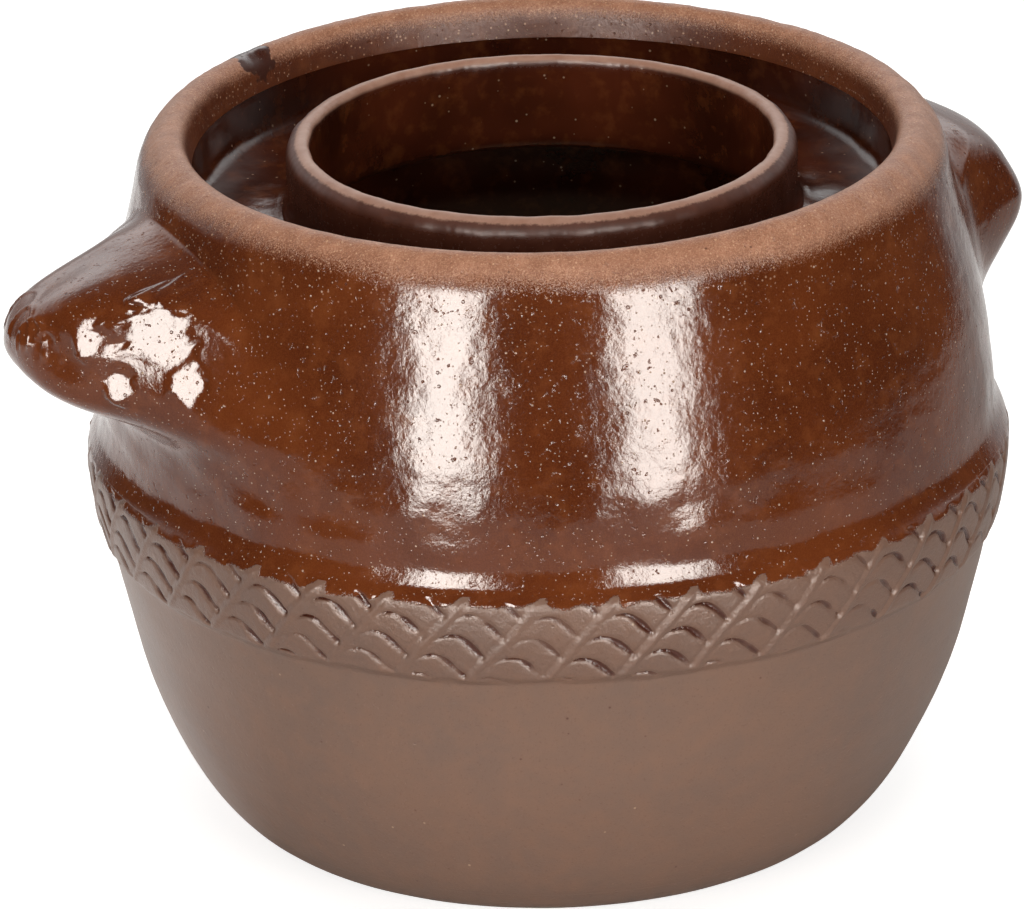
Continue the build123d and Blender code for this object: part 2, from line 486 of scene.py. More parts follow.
class Graph:
    """The node tree of a material or the world, with short calls for the nodes used here."""

    def __init__(self, owner):
        owner.use_nodes = True
        self.owner = owner
        self.tree = owner.node_tree
        self.tree.nodes.clear()
        self.coordinates = self.add("TexCoord").outputs
        self.place = self.coordinates["Object"]

    def add(self, kind, inputs=None, **settings):
        node = self.tree.nodes.new("ShaderNode" + kind)
        for key, value in settings.items():
            setattr(node, key, value)
        for key, value in (inputs or {}).items():
            socket = node.inputs[key]
            if isinstance(value, bpy.types.NodeSocket):
                self.tree.links.new(value, socket)
            else:
                socket.default_value = value
        return node

    def noise(self, size_mm, detail=2.0, roughness=0.5):
        scale = 1000.0 / size_mm
        inputs = {"Vector": self.place, "Scale": scale, "Detail": detail, "Roughness": roughness}
        return self.add("TexNoise", inputs).outputs["Fac"]

    def spots(self, spacing_mm, radius, share, seed=0.0):
        """Round spots, one in some of the cells: 1 inside a spot, falling to 0 at its edge."""
        shift = (seed, seed * 0.7, seed * 1.3)
        shifted = self.add("VectorMath", {0: self.place, 1: shift}).outputs[0]
        cells = self.add(
            "TexVoronoi", {"Vector": shifted, "Scale": 1000.0 / spacing_mm, "Randomness": 0.9}
        )
        chance = self.add("SeparateColor", {"Color": cells.outputs["Color"]}).outputs[0]
        size = self.remap(chance, share * 0.3, share, radius, -0.01)
        near = self.sums("SUBTRACT", size, cells.outputs["Distance"])
        return self.remap(near, 0.0, radius * 0.55, 0.0, 1.0)

    def sums(self, kind, first, second=0.0):
        return self.add("Math", {0: first, 1: second}, operation=kind).outputs[0]

    def times(self, first, second):
        return self.sums("MULTIPLY", first, second)

    def plus(self, first, second):
        return self.sums("ADD", first, second)

    def remap(self, value, low, high, start=0.0, end=1.0, kind="LINEAR"):
        inputs = {"Value": value, "From Min": low, "From Max": high, "To Min": start, "To Max": end}
        return self.add("MapRange", inputs, interpolation_type=kind, clamp=True).outputs[0]

    def mix(self, factor, first, second):
        first, second = [(*c, 1.0) if isinstance(c, tuple) else c for c in (first, second)]
        return self.add("Mix", {0: factor, 6: first, 7: second}, data_type="RGBA").outputs[2]

    def fade(self, value, low, high, first, second, share=1.0):
        """From the first colour at low to that share of the second at high."""
        return self.mix(self.remap(value, low, high, 0.0, share), first, second)

    def height(self):
        """Height above the ground in millimetres."""
        z = self.add("SeparateXYZ", {"Vector": self.place}).outputs[2]
        return self.times(z, 1000.0)

    def vectors(self, kind, inputs, output="Value"):
        return self.add("VectorMath", inputs, operation=kind).outputs[output]

    def from_axis(self):
        """Distance from the turning axis in millimetres."""
        flat = self.vectors("MULTIPLY", {0: self.place, 1: (1000.0, 1000.0, 0.0)}, 0)
        return self.vectors("LENGTH", {0: flat})

    def towards(self, bearing):
        """1 on the side of the pot at that bearing, falling to -1 on the far side."""
        turn = math.radians(bearing)
        flat = self.vectors("MULTIPLY", {0: self.place, 1: (1.0, 1.0, 0.0)}, 0)
        way = self.vectors("NORMALIZE", {0: flat}, 0)
        side = (math.cos(turn), math.sin(turn), 0.0)
        return self.vectors("DOT_PRODUCT", {0: way, 1: side})

    def blotch(self, bearing, radius, height, size):
        """1 within a ragged patch of that size round a point on the pot, 0 outside it."""
        turn = math.radians(bearing)
        spot = (radius * math.cos(turn) * MM, radius * math.sin(turn) * MM, height * MM)
        gap = self.times(self.vectors("DISTANCE", {0: self.place, 1: spot}), 1000.0)
        ragged = self.plus(gap, self.remap(self.noise(3.0), 0.3, 0.7, -1.6, 1.6))
        return self.remap(ragged, size, size - 0.8)

    def bump(self, height, distance_mm, normal=None):
        inputs = {"Height": height, "Strength": 1.0, "Distance": distance_mm * MM}
        if normal:
            inputs["Normal"] = normal
        return self.add("Bump", inputs).outputs[0]

    def finish(self, colour, roughness, normal, ior=1.5):
        shader = self.add("BsdfPrincipled")
        shader.inputs["IOR"].default_value = ior
        for key, value in (("Base Color", colour), ("Roughness", roughness), ("Normal", normal)):
            self.tree.links.new(value, shader.inputs[key])
        output = self.add("OutputMaterial")
        self.tree.links.new(shader.outputs[0], output.inputs["Surface"])
        return self.owner


CHIP_BEARING = 119.0
GLAZE_BROWN = (0.118, 0.0270, 0.0066)
GLAZE_DARK = (0.070, 0.0140, 0.0036)
GLAZE_WARM = (0.190, 0.056, 0.016)
SPECK = (0.56, 0.40, 0.28)
TAUPE = (0.192, 0.107, 0.073)
TAUPE_GREY = (0.164, 0.099, 0.074)
TAUPE_WARM = (0.214, 0.112, 0.071)
BARE_RIM = (0.385, 0.182, 0.108)
BARE_RIM_DARK = (0.235, 0.092, 0.048)
BARE_RIM_PALE = (0.54, 0.33, 0.21)
GROOVE_GLAZE = (0.060, 0.014, 0.0065)


def stoneware():
    """The outside: bare sandy rim, brown glaze, stamped band and satin taupe bowl, by height."""
    g = Graph(bpy.data.materials.new("stoneware_outside"))
    height = g.height()
    broad = g.noise(38.0, 2.0)
    medium = g.noise(7.0, 3.0, 0.6)
    fine = g.noise(1.1, 2.0, 0.6)
    grain = g.noise(0.45, 2.0, 0.7)

    # Brown glaze
    glaze = g.fade(broad, 0.35, 0.68, GLAZE_DARK, GLAZE_BROWN)
    glaze = g.fade(medium, 0.5, 0.8, glaze, GLAZE_WARM, 0.55)
    specks = g.spots(2.4, 0.16, 0.38)
    tiny_specks = g.spots(1.0, 0.26, 0.42, 3.1)
    near_rim = g.remap(height, wall_top - 12.0, wall_top + 3.0)
    rim_specks = g.times(g.spots(1.4, 0.30, 0.6, 11.3), near_rim)
    glaze = g.mix(g.times(rim_specks, 0.75), glaze, BARE_RIM_PALE)
    all_specks = g.sums("MAXIMUM", g.times(specks, 0.85), g.times(tiny_specks, 0.6))
    glaze = g.fade(grain, 0.4, 0.75, glaze, GLAZE_WARM, 0.35)
    glaze = g.mix(all_specks, glaze, SPECK)
    pits = g.spots(4.2, 0.13, 0.6, 7.7)
    glaze = g.mix(g.times(pits, 0.7), glaze, GLAZE_DARK)

    # Bare sandy rim
    rim = g.fade(medium, 0.3, 0.7, BARE_RIM_DARK, BARE_RIM)
    rim = g.fade(grain, 0.48, 0.68, rim, BARE_RIM_PALE, 0.6)
    rim = g.fade(g.noise(0.8, 2.0, 0.7), 0.5, 0.32, rim, BARE_RIM_DARK, 0.85)
    rim = g.mix(g.times(g.spots(1.5, 0.27, 0.8, 5.3), 0.8), rim, BARE_RIM_PALE)
    rim = g.mix(g.times(g.spots(3.4, 0.15, 0.5, 9.1), 0.8), rim, GLAZE_DARK)
    inward = g.remap(g.from_axis(), channel_wall + 4.5, channel_wall, 0.0, -5.5)
    rim_line = g.plus(g.plus(height, inward), g.remap(broad, 0.0, 1.0, -2.0, 2.0))
    rim_line = g.plus(rim_line, g.remap(grain, 0.25, 0.75, -2.0, 2.0))
    rim_line = g.plus(rim_line, g.remap(g.towards(-168.0), 0.1, 1.0, 0.0, -3.0))
    rim_share = g.remap(rim_line, wall_top - 0.2, wall_top + 6.0, kind="SMOOTHSTEP")
    blotch = g.blotch(CHIP_BEARING, 106.0, rim_crest - 1.5, 7.6)
    rim_share = g.times(rim_share, g.remap(blotch, 0.0, 1.0, 1.0, 0.0))
    glaze = g.mix(g.times(blotch, 0.8), glaze, (0.030, 0.007, 0.004))

    # Satin slip of the band and the bowl
    taupe = g.fade(broad, 0.3, 0.7, TAUPE_GREY, TAUPE)
    taupe = g.fade(medium, 0.4, 0.8, taupe, TAUPE_WARM, 0.6)
    taupe = g.fade(g.noise(0.7, 2.0, 0.7), 0.58, 0.75, taupe, GLAZE_DARK, 0.35)
    taupe = g.mix(g.times(g.spots(5.5, 0.10, 0.35, 4.4), 0.8), taupe, GLAZE_DARK)
    taupe = g.mix(g.times(g.spots(6.5, 0.08, 0.35, 6.6), 0.6), taupe, SPECK)
    taupe = g.mix(g.remap(height, band_low - 1.0, band_low + 6.0, 0.0, 0.16), taupe, GROOVE_GLAZE)
    groove = g.add("Attribute", attribute_name="groove").outputs["Fac"]
    bars = g.add("Attribute", attribute_name="bars").outputs["Fac"]
    leftward = g.towards(-166.0)
    pooled = g.remap(g.noise(45.0, 2.0), 0.40, 0.70, -0.12, 0.25)
    pooled = g.plus(pooled, g.remap(leftward, 0.2, 1.0, 0.0, 0.22))
    pooled = g.times(pooled, g.remap(height, band_low + 6.0, band_high - 6.0))
    pooled = g.sums("SUBTRACT", pooled, g.times(bars, 0.5))
    groove = g.plus(groove, pooled)
    taupe = g.fade(groove, 0.3, 0.75, taupe, GROOVE_GLAZE)
    slip_line = g.plus(height, g.remap(medium, 0.3, 0.7, -0.2, 1.8))
    slip_line = g.plus(slip_line, g.remap(grain, 0.3, 0.7, -0.4, 0.4))
    slip_line = g.plus(slip_line, g.times(bars, -2.8))
    slip_share = g.remap(slip_line, band_high - 1.3, band_high - 1.9)

    colour = g.mix(rim_share, glaze, rim)
    colour = g.mix(slip_share, colour, taupe)

    glaze_rough = g.remap(fine, 0.3, 0.8, 0.07, 0.15)
    slip_rough = g.remap(groove, 0.2, 0.7, 0.37, 0.15)
    rim_inside = g.remap(g.from_axis(), channel_wall + 6.0, channel_wall + 2.0)
    rim_inside = g.times(rim_inside, g.remap(height, wall_top - 2.0, wall_top + 1.0))
    rim_rough = g.sums("MAXIMUM", g.times(rim_share, 0.33), g.times(rim_inside, 0.30))
    roughness = g.plus(glaze_rough, rim_rough)
    slip_part = g.times(slip_share, g.sums("SUBTRACT", slip_rough, roughness))
    roughness = g.plus(roughness, slip_part)

    # Relief: peel and pinholes in the glaze, sand in the rim, fine tooth in the slip
    glazed = g.remap(slip_share, 0.0, 1.0, 1.0, 0.35)
    peel = g.bump(g.times(g.noise(4.5, 1.0), glazed), 0.09)
    peel = g.bump(g.times(g.noise(1.5, 1.0), glazed), 0.06, peel)
    peel = g.bump(grain, 0.03, peel)
    blisters = g.sums("SUBTRACT", g.sums("MAXIMUM", specks, tiny_specks), g.times(pits, 1.4))
    peel = g.bump(g.times(blisters, glazed), 0.12, peel)
    craters = g.remap(g.noise(2.2, 2.0, 0.55), 0.67, 0.75)
    peel = g.bump(g.times(craters, g.times(glazed, -1.0)), 0.14, peel)
    sand = g.bump(g.times(grain, rim_share), 0.12, peel)
    on_band = g.times(slip_share, g.remap(height, band_low - 1.0, band_low + 4.0, 0.25, 1.0))
    sand = g.bump(g.times(g.noise(3.2, 3.0, 0.6), on_band), 0.35, sand)
    sand = g.bump(g.times(g.noise(0.9, 3.0, 0.65), on_band), 0.13, sand)
    return g.finish(colour, roughness, sand, ior=1.52)


def inside_glaze():
    """The liner glaze of the bowl, the channel and the collar, with the collar's top wiped bare."""
    g = Graph(bpy.data.materials.new("inside_glaze"))
    height = g.height()
    broad = g.noise(30.0, 2.0)
    medium = g.noise(6.0, 3.0, 0.6)
    fine = g.noise(1.1, 2.0, 0.6)
    glaze = g.fade(broad, 0.35, 0.7, (0.030, 0.0065, 0.0026), (0.075, 0.016, 0.006))
    glaze = g.fade(medium, 0.5, 0.85, glaze, GLAZE_WARM, 0.5)
    glaze = g.mix(g.times(g.spots(2.6, 0.18, 0.4), 0.5), glaze, SPECK)
    outer_side = g.remap(g.from_axis(), mouth + 3.0, mouth + 4.5)
    neck = g.times(g.remap(height, channel_floor + 4.0, channel_floor + 9.0), outer_side)
    neck = g.times(neck, g.remap(g.from_axis(), collar_root + 3.0, collar_root + 1.0))
    neck_glaze = g.fade(medium, 0.3, 0.7, (0.062, 0.018, 0.0095), (0.095, 0.031, 0.018))
    glaze = g.mix(neck, glaze, neck_glaze)
    flat_top = g.plus(g.from_axis(), g.remap(fine, 0.3, 0.7, -0.3, 0.3))
    wiped = g.remap(flat_top, collar_outer - 2.0, collar_outer - 2.7)
    wiped = g.times(wiped, g.remap(height, collar_top - 2.2, collar_top - 1.2))
    bare = g.fade(medium, 0.3, 0.7, (0.27, 0.135, 0.09), (0.36, 0.21, 0.155))
    colour = g.mix(wiped, glaze, bare)
    near_top = g.remap(height, collar_top - 5.0, collar_top - 1.5, 0.0, 0.28)
    roughness = g.plus(g.remap(fine, 0.3, 0.8, 0.10, 0.18), near_top)
    roughness = g.plus(roughness, g.times(neck, 0.12))
    normal = g.bump(g.noise(4.0, 1.0), 0.05)
    normal = g.bump(g.noise(1.5, 1.0), 0.035, normal)
    normal = g.bump(g.noise(0.45, 2.0, 0.7), 0.03, normal)
    return g.finish(colour, roughness, normal, ior=1.52)


def weight_clay():
    """Fired bare stoneware of the weights: sandy, speckled, slightly flashed."""
    g = Graph(bpy.data.materials.new("weight_clay"))
    broad = g.noise(22.0, 3.0)
    fine = g.noise(1.2, 3.0, 0.65)
    colour = g.fade(broad, 0.3, 0.7, (0.36, 0.235, 0.155), (0.50, 0.36, 0.25))
    colour = g.fade(fine, 0.5, 0.85, colour, (0.24, 0.13, 0.08), 0.6)
    colour = g.mix(g.spots(3.5, 0.16, 0.5), colour, (0.09, 0.045, 0.03))
    roughness = g.remap(fine, 0.2, 0.8, 0.68, 0.88)
    normal = g.bump(g.noise(0.8, 3.0, 0.7), 0.18)
    return g.finish(colour, roughness, normal)


outside = stoneware()
inside = inside_glaze()
weight = weight_clay()


# ---------------------------------------------------------------- the pot, piece by piece

def make_base():
    """The slab: underside with a shallow turned hollow, rounded foot, floor of the bowl."""
    columns = 720
    angle = round_angles(columns)
    centre = 0.4
    under = [centre, 6.0, 14.0, 24.0, 34.0, 44.0, 54.0, 62.0, 70.0, 76.0, 80.0, 82.5, 85.0, 87.2]
    radius = [np.full(columns, r) for r in under]
    height = []
    for r in under:
        hollow = 0.9 * smooth((82.0 - r) / 5.0)
        wire = 0.10 * np.sin(r * math.tau / 5.0 + angle[0] + 2.0 * np.sin(angle[0]))
        height.append(np.full(columns, hollow) + wire * smooth((80.0 - r) / 4.0))
    foot_rows = 15
    for z in np.linspace(0.0, 1.0, foot_rows) ** 1.4 * base_top:
        radius.append(outer_radius(angle[0], np.full(columns, z)))
        height.append(np.full(columns, z))
    for r in np.linspace(INSIDE_OUTLINE[0][1], centre, 16):
        radius.append(np.full(columns, r))
        rings = 0.25 * np.sin(r * math.tau / 9.0 + angle[0])
        height.append(base_top + rings * smooth((86.0 - r) / 8.0) * smooth(r / 12.0))
    radius = np.array(radius)
    height = np.array(height)
    first_inside = len(under) + foot_rows
    inside_rows = range(first_inside - 1, len(radius) - 1)
    return lathe("base_slab", "base", radius, height, angle, [outside, inside], inside_rows)


def make_wall_ring(name, node, low, high, columns, spacing, tinted=False):
    """A ring of the wall between two heights, with its flat hidden joints."""
    angle = round_angles(columns)
    outer_heights = np.linspace(low, high, max(2, int(math.ceil((high - low) * 1.05 / spacing))))
    close_rows = [low + 0.1, low + 0.25, high - 0.25, high - 0.1]
    outer_heights = np.sort(np.concatenate([outer_heights, close_rows]))
    inner_top = min(high, channel_under)
    inner_heights = np.linspace(inner_top, low, int(math.ceil((high - low) / 7.0)) + 1)
    outer = outer_radius(angle, outer_heights[:, None])
    stamped = {}
    if tinted:
        relief, groove, bars = stamping(angle, outer_heights[:, None])
        stamped = {"groove": groove, "bars": bars}
        outer = outer + relief
    if node == "upper_wall":
        for lug in LUGS:
            reach = lug_patch(angle, outer_heights[:, None], lug)
            plain = full_radius(angle, outer_heights[:, None], lugs=False)
            edge = (1.0 - reach) * LUG_PATCH[1]
            dip = SEAM_DIP * edge + POCKET * smooth((edge - 4.0) / 4.0)
            outer = np.where(reach < 1.0, plain - dip, outer)
    radius = list(outer)
    height = [np.full(columns, z) for z in outer_heights]
    if high > channel_under:
        radius.append(np.full(columns, channel_back_top))
        height.append(np.full(columns, high))
    first_inside = len(radius)
    for z in inner_heights:
        if z == inner_heights[0] and high > channel_under:
            radius.append(np.full(columns, channel_back))
        else:
            radius.append(inner_radius(angle[0], np.full(columns, z)))
        height.append(np.full(columns, z))
    radius = np.array(radius)
    height = np.array(height)
    tints = {}
    for label, values in stamped.items():
        tints[label] = np.zeros(radius.shape)
        tints[label][:len(outer)] = values
    inside_rows = range(first_inside, len(radius) - 1)
    return lathe(name, node, radius, height, angle, [outside, inside], inside_rows, tints)


def make_rim():
    """The rounded lip, a little uneven all round, with sand in its skin and one old chip."""
    columns = 1100
    angle = round_angles(columns)
    knots = [
        (117.6, 200.0), (116.3, 203.6), (113.8, 207.2), (110.8, 209.9), (107.7, 211.0),
        (105.0, 210.1), (103.2, 207.2), (102.4, 203.4), (101.7, 200.0),
    ]
    rows = np.array(curved_rows(knots, 0.75))
    radius = widen(rows[:, :1], angle)
    height = widen(rows[:, 1:], angle)
    lift = smooth((height - wall_top) / 8.0)
    on_wall = outer_radius(angle, np.full_like(height, wall_top)) - spline(WALL_OUTLINE, wall_top)
    outside_part = smooth((radius - 103.0) / 9.0)
    rough = 0.02 * ripple(angle, radius * 2.0 + height, 31, 3.2, 40)
    rough = rough + 0.05 * ripple(angle, radius * 2.0 + height, 32, 14.0)
    radius = radius + on_wall * outside_part + rough * lift
    wave = 0.2 * np.cos(2.0 * angle + 2.0) + 0.15 * np.cos(5.0 * angle) + rough
    height = height + (wave - 0.35) * lift
    chip_turn = (angle - math.radians(CHIP_BEARING) + math.pi) % math.tau - math.pi
    chip = np.exp(-(chip_turn * 108.0 / 4.0) ** 4 - ((rows[:, :1] - 104.5) / 4.0) ** 2)
    height = height - 0.8 * chip * lift
    joint_middle = 109.25
    radius = np.vstack([radius, np.full(columns, joint_middle)])
    height = np.vstack([height, np.full(columns, wall_top)])
    return lathe("rim_lip", "outer_rim", radius, height, angle, [outside, inside])


def make_channel():
    """The gutter: its outer wall, a rounded corner, the floor, and the hidden back."""
    columns = 720
    angle = round_angles(columns)
    seen = curved_rows([
        (channel_wall, wall_top), (channel_wall + 0.3, 194.0), (channel_wall + 0.2, 189.5),
        (channel_wall - 1.0, 186.2), (channel_wall - 3.8, 184.6), (channel_wall - 8.0, 184.1),
        (90.0, 184.2), (82.0, 184.3), (collar_root + 2.0, 184.7), (collar_root, 185.2),
    ], 0.9)
    hidden = section_rows([(collar_root, channel_under), (channel_back, channel_under)], 12.0)
    hidden += section_rows([(channel_back, channel_under), (channel_back_top, wall_top)], 8.0)[1:]
    rows = np.array(seen + hidden)
    radius = widen(rows[:, :1], angle)
    height = widen(rows[:, 1:], angle)
    is_seen = np.zeros((len(rows), 1))
    is_seen[2:len(seen) - 2] = 1.0
    wave = 0.11 * ripple(angle, rows[:, :1] + rows[:, 1:], 41, 26.0)
    wave = wave + 0.015 * ripple(angle, rows[:, :1] + rows[:, 1:], 42, 7.0)
    on_floor = smooth((channel_wall - 2.0 - rows[:, :1]) / 4.0)
    radius = radius + wave * is_seen * (1.0 - on_floor)
    height = height + (wave + 0.25 * np.cos(2.0 * angle)) * is_seen * on_floor
    return lathe("gutter", "water_channel", radius, height, angle, [inside])


def make_collar():
    """The neck: fillet out of the floor, upright wall, wiped flat top, and the mouth's edge."""
    columns = 720
    angle = round_angles(columns)
    outer = curved_rows([
        (collar_root, 185.2), (collar_outer + 0.7, 186.6), (collar_outer, 189.5),
        (collar_outer - 0.1, 196.0), (collar_outer, 200.8),
    ], 0.9)
    top = curved_rows([
        (collar_outer, 200.8), (collar_outer - 0.3, 203.0), (collar_outer - 1.4, 204.9),
        (collar_outer - 3.0, 206.0), (collar_outer - 4.6, 206.5), (mouth + 1.0, 206.3),
        (mouth + 0.2, 205.3), (mouth, 203.2),
    ], 0.6)
    inner = curved_rows([
        (mouth, 203.2), (mouth + 0.1, 192.0), (mouth, 182.0), (mouth + 0.8, 178.0),
        (mouth + 3.4, 176.2), (mouth + 6.0, channel_under),
    ], 1.2)
    rows = np.array(outer[:-1] + top[:-1] + inner + [np.array([collar_root, channel_under])])
    radius = widen(rows[:, :1], angle)
    height = widen(rows[:, 1:], angle)
    free = smooth((rows[:, 1:] - 187.0) / 6.0)
    along = rows[:, 1:] + rows[:, :1]
    wave = 0.45 * np.cos(2.0 * angle + 1.2) + 0.12 * ripple(angle, along, 51, 20.0)
    wave = wave + 0.03 * ripple(angle, along, 52, 5.0)
    radius = radius + wave * free
    height = height + (0.2 * np.cos(3.0 * angle) - 0.15) * smooth((rows[:, 1:] - 198.0) / 6.0)
    return lathe("collar", "inner_collar", radius, height, angle, [inside])


def make_lug(lug):
    """A lug as its own closed piece, its outer face one surface with the wall round it."""
    across_count = 230
    up_count = 200
    s = np.linspace(-1.0, 1.0, across_count)[None, :]
    t = np.linspace(-1.0, 1.0, up_count)[:, None]
    overlap = 1.05
    x = s * np.sqrt(1.0 - 0.5 * t * t) * overlap
    y = t * np.sqrt(1.0 - 0.5 * s * s) * overlap
    bearing = math.radians(LUGS[lug]["bearing"])

    def place(x, y, sink=0.0, plain=False):
        angle = bearing + x * LUG_PATCH[0] / LUG_RADIUS
        height = LUG_HEIGHT + LUG_PATCH_CENTRE + y * LUG_PATCH[1]
        radius = full_radius(angle, height, lugs=False) if plain else outer_radius(angle, height)
        outside_edge = np.clip((np.hypot(x, y) - 1.0) * LUG_PATCH[1], 0.0, None)
        radius = radius - SEAM_DIP * outside_edge - sink - 1.6 * smooth((outside_edge - 0.9) / 0.9)
        return np.stack([radius * np.cos(angle), radius * np.sin(angle), height], -1)

    front = place(x, y)
    points = list(front.reshape(-1, 3))
    index = np.arange(up_count * across_count).reshape(up_count, across_count)
    faces = []
    quad = np.stack([index[:-1, :-1], index[:-1, 1:], index[1:, 1:], index[1:, :-1]], -1)
    faces += quad.reshape(-1, 4).tolist()
    loop = np.concatenate([index[0, :-1], index[:-1, -1], index[-1, :0:-1], index[:0:-1, 0]])
    loop_x = x.ravel()[loop]
    loop_y = y.ravel()[loop]
    previous = loop
    for scale, sink in ((0.97, 2.0), (0.66, 2.2), (0.33, 2.2), (0.08, 2.2)):
        ring = place(loop_x * scale, loop_y * scale, sink, plain=True)
        start = len(points)
        points += list(ring)
        current = np.arange(start, start + len(loop))
        for i in range(len(loop)):
            j = (i + 1) % len(loop)
            faces.append([previous[j], previous[i], current[i], current[j]])
        previous = current
    centre = len(points)
    points.append(place(np.array([0.0]), np.array([0.0]), 2.2, plain=True)[0])
    for i in range(len(loop)):
        j = (i + 1) % len(loop)
        faces.append([previous[j], previous[i], centre])
    faces = [[int(v) for v in face] for face in faces]
    return build(lug.replace("_handle", ""), lug, np.array(points), faces, [outside])


def make_stone(node):
    """A half-moon weight: eased edges, faces slightly dished, sandy skin."""
    low, high = node_box(node)
    side = 1.0 if high[0] > 0.0 and low[0] > 0.0 else -1.0
    flat = min(abs(low[0]), abs(high[0]))
    radius = max(abs(low[0]), abs(high[0]))
    edge = 4.5
    corner = 7.0

    def outline(inset, count=96):
        """The half disc's outline, moved in by inset, with rounded corners."""
        r = radius - inset
        c = max(corner - inset, 0.4)
        x0 = flat + inset
        centre_x = x0 + c
        centre_y = math.sqrt((r - c) ** 2 - centre_x ** 2)
        meet = math.atan2(centre_y, centre_x)
        arc = np.linspace(-meet, meet, count)
        big = np.stack([r * np.cos(arc), r * np.sin(arc)], -1)
        turn = np.linspace(meet, math.pi, 20)[1:]
        upper = np.stack([centre_x + c * np.cos(turn), centre_y + c * np.sin(turn)], -1)
        back = np.linspace(centre_y, -centre_y, 60)[1:-1]
        straight = np.stack([np.full(len(back), x0), back], -1)
        lower = upper[::-1] * np.array([1.0, -1.0])
        return np.concatenate([big, upper, straight, lower[:-1]])

    layers = []
    shares = (0.06, 0.2, 0.35, 0.5, 0.65, 0.8, 0.9, 0.97)
    turns = np.linspace(0.0, math.pi / 2.0, 9)
    middle = outline(edge + 1.0).mean(axis=0)
    for share in shares:
        ring = middle + (outline(edge) - middle) * share
        layers.append((ring, np.full(len(ring), low[2])))
    for turn in turns:
        ring = outline(edge * (1.0 - math.sin(turn)))
        layers.append((ring, low[2] + edge * (1.0 - math.cos(turn))))
    for z in np.linspace(low[2] + edge, high[2] - edge, 10)[1:-1]:
        layers.append((outline(0.0), z))
    for turn in turns[::-1]:
        ring = outline(edge * (1.0 - math.sin(turn)))
        layers.append((ring, high[2] - edge * (1.0 - math.cos(turn))))
    for share in shares[::-1]:
        ring = middle + (outline(edge) - middle) * share
        dish = 0.5 * (1.0 - share ** 2)
        layers.append((ring, np.full(len(ring), high[2] - dish)))
    rows = []
    for ring, z in layers:
        rows.append(np.column_stack([ring[:, 0] * side, ring[:, 1], np.broadcast_to(z, len(ring))]))
    points = np.array(rows)
    count = points.shape[1]
    flat_points = points.reshape(-1, 3)
    seed = 61 if side > 0 else 62
    along = flat_points[:, 2] * 2.0 + flat_points[:, 0]
    wobble = ripple(flat_points[:, 1] / 20.0, along, seed, 14.0)
    away = flat_points - np.array([middle[0] * side, middle[1], (low[2] + high[2]) / 2.0])
    away = away / np.linalg.norm(away, axis=1, keepdims=True)
    away[:, 2] = np.where(flat_points[:, 2] < low[2] + 1.0, 0.0, away[:, 2])
    flat_points = flat_points + away * (0.12 * wobble - 0.15)[:, None]
    faces = []
    for i in range(len(layers) - 1):
        for j in range(count):
            k = (j + 1) % count
            quad = [i * count + j, i * count + k, (i + 1) * count + k, (i + 1) * count + j]
            faces.append(quad if side > 0 else quad[::-1])
    bottom = list(range(count))
    top = [(len(layers) - 1) * count + j for j in range(count)]
    faces.append(bottom[::-1] if side > 0 else bottom)
    faces.append(top if side > 0 else top[::-1])
    return build(node.replace("weight_stone", "half_moon"), node, flat_points, faces, [weight])


make_base()
make_wall_ring("bowl_wall", "lower_bowl", base_top, band_low, 720, 1.2)
make_wall_ring("stamped_ring", "pattern_band", band_low, band_high, 1560, 0.52, tinted=True)
make_wall_ring("shoulder_wall", "upper_wall", band_high, wall_top, 900, 1.0)
make_rim()
make_channel()
make_collar()
for lug_node in LUGS:
    make_lug(lug_node)
for stone_node in ("left_weight_stone", "right_weight_stone"):
    make_stone(stone_node)


# ---------------------------------------------------------------- floor, light and camera

CAMERA_AZIMUTH = -24.5
CAMERA_ELEVATION = 22.37
CAMERA_DISTANCE = 2.453
CAMERA_TARGET = 0.1059
CAMERA_ROLL = 1.348
CAMERA_LENS = 292.4
SIDE_AIM = 0.25
FLOOR_RADIUS = 0.75
FLOOR_GLOW = 0.75
# Painted light: how strongly the floor's back half glows towards the crock, and the bearing it is
# brightest at
BACK_FLOOR_GLOW = 0.6
BACK_GLOW_BEARING = 103.0
LAMP_COLOUR = (1.0, 0.95, 0.89)


def heading(azimuth):
    """Unit vector on the ground from the crock towards a viewer at that azimuth."""
    turn = math.radians(azimuth - 90.0)
    return Vector((math.cos(turn), math.sin(turn), 0.0))


def make_floor():
    """A plain pale floor, not part of the object. It glows evenly to the camera, and its back half
    also glows towards the crock as a painted pool of light that lights the crock and shows in its
    reflections.
    """
    g = Graph(bpy.data.materials.new("pale_floor"))
    colour = g.fade(g.noise(900.0, 2.0), 0.3, 0.7, (0.60, 0.60, 0.60), (0.62, 0.62, 0.62))
    roughness = g.remap(g.noise(300.0, 2.0), 0.3, 0.7, 0.75, 0.85)
    normal = g.bump(g.noise(4.0, 2.0), 0.01)
    material = g.finish(colour, roughness, normal)
    shader = next(n for n in g.tree.nodes if n.type == "BSDF_PRINCIPLED")
    shader.inputs["Emission Color"].default_value = (1.0, 1.0, 1.0, 1.0)
    seen = g.add("LightPath").outputs["Is Camera Ray"]
    # Painted light: the floor's back half glows for every ray but the camera's, lighting the crock
    # and showing in its reflections
    painted_back_glow = g.remap(g.towards(BACK_GLOW_BEARING), 0.1, 0.7, 0.0, BACK_FLOOR_GLOW)
    glow = g.sums("MAXIMUM", g.remap(seen, 0.0, 1.0, 0.0, FLOOR_GLOW), painted_back_glow)
    g.tree.links.new(glow, shader.inputs["Emission Strength"])
    mesh = bpy.data.meshes.new("floor")
    turns = [math.tau * i / 180 for i in range(180)]
    edge = [(FLOOR_RADIUS * math.cos(a), FLOOR_RADIUS * math.sin(a), 0.0) for a in turns]
    mesh.from_pydata(edge, [], [tuple(range(180))])
    mesh.materials.append(material)
    floor = bpy.data.objects.new("floor", mesh)
    bpy.context.scene.collection.objects.link(floor)


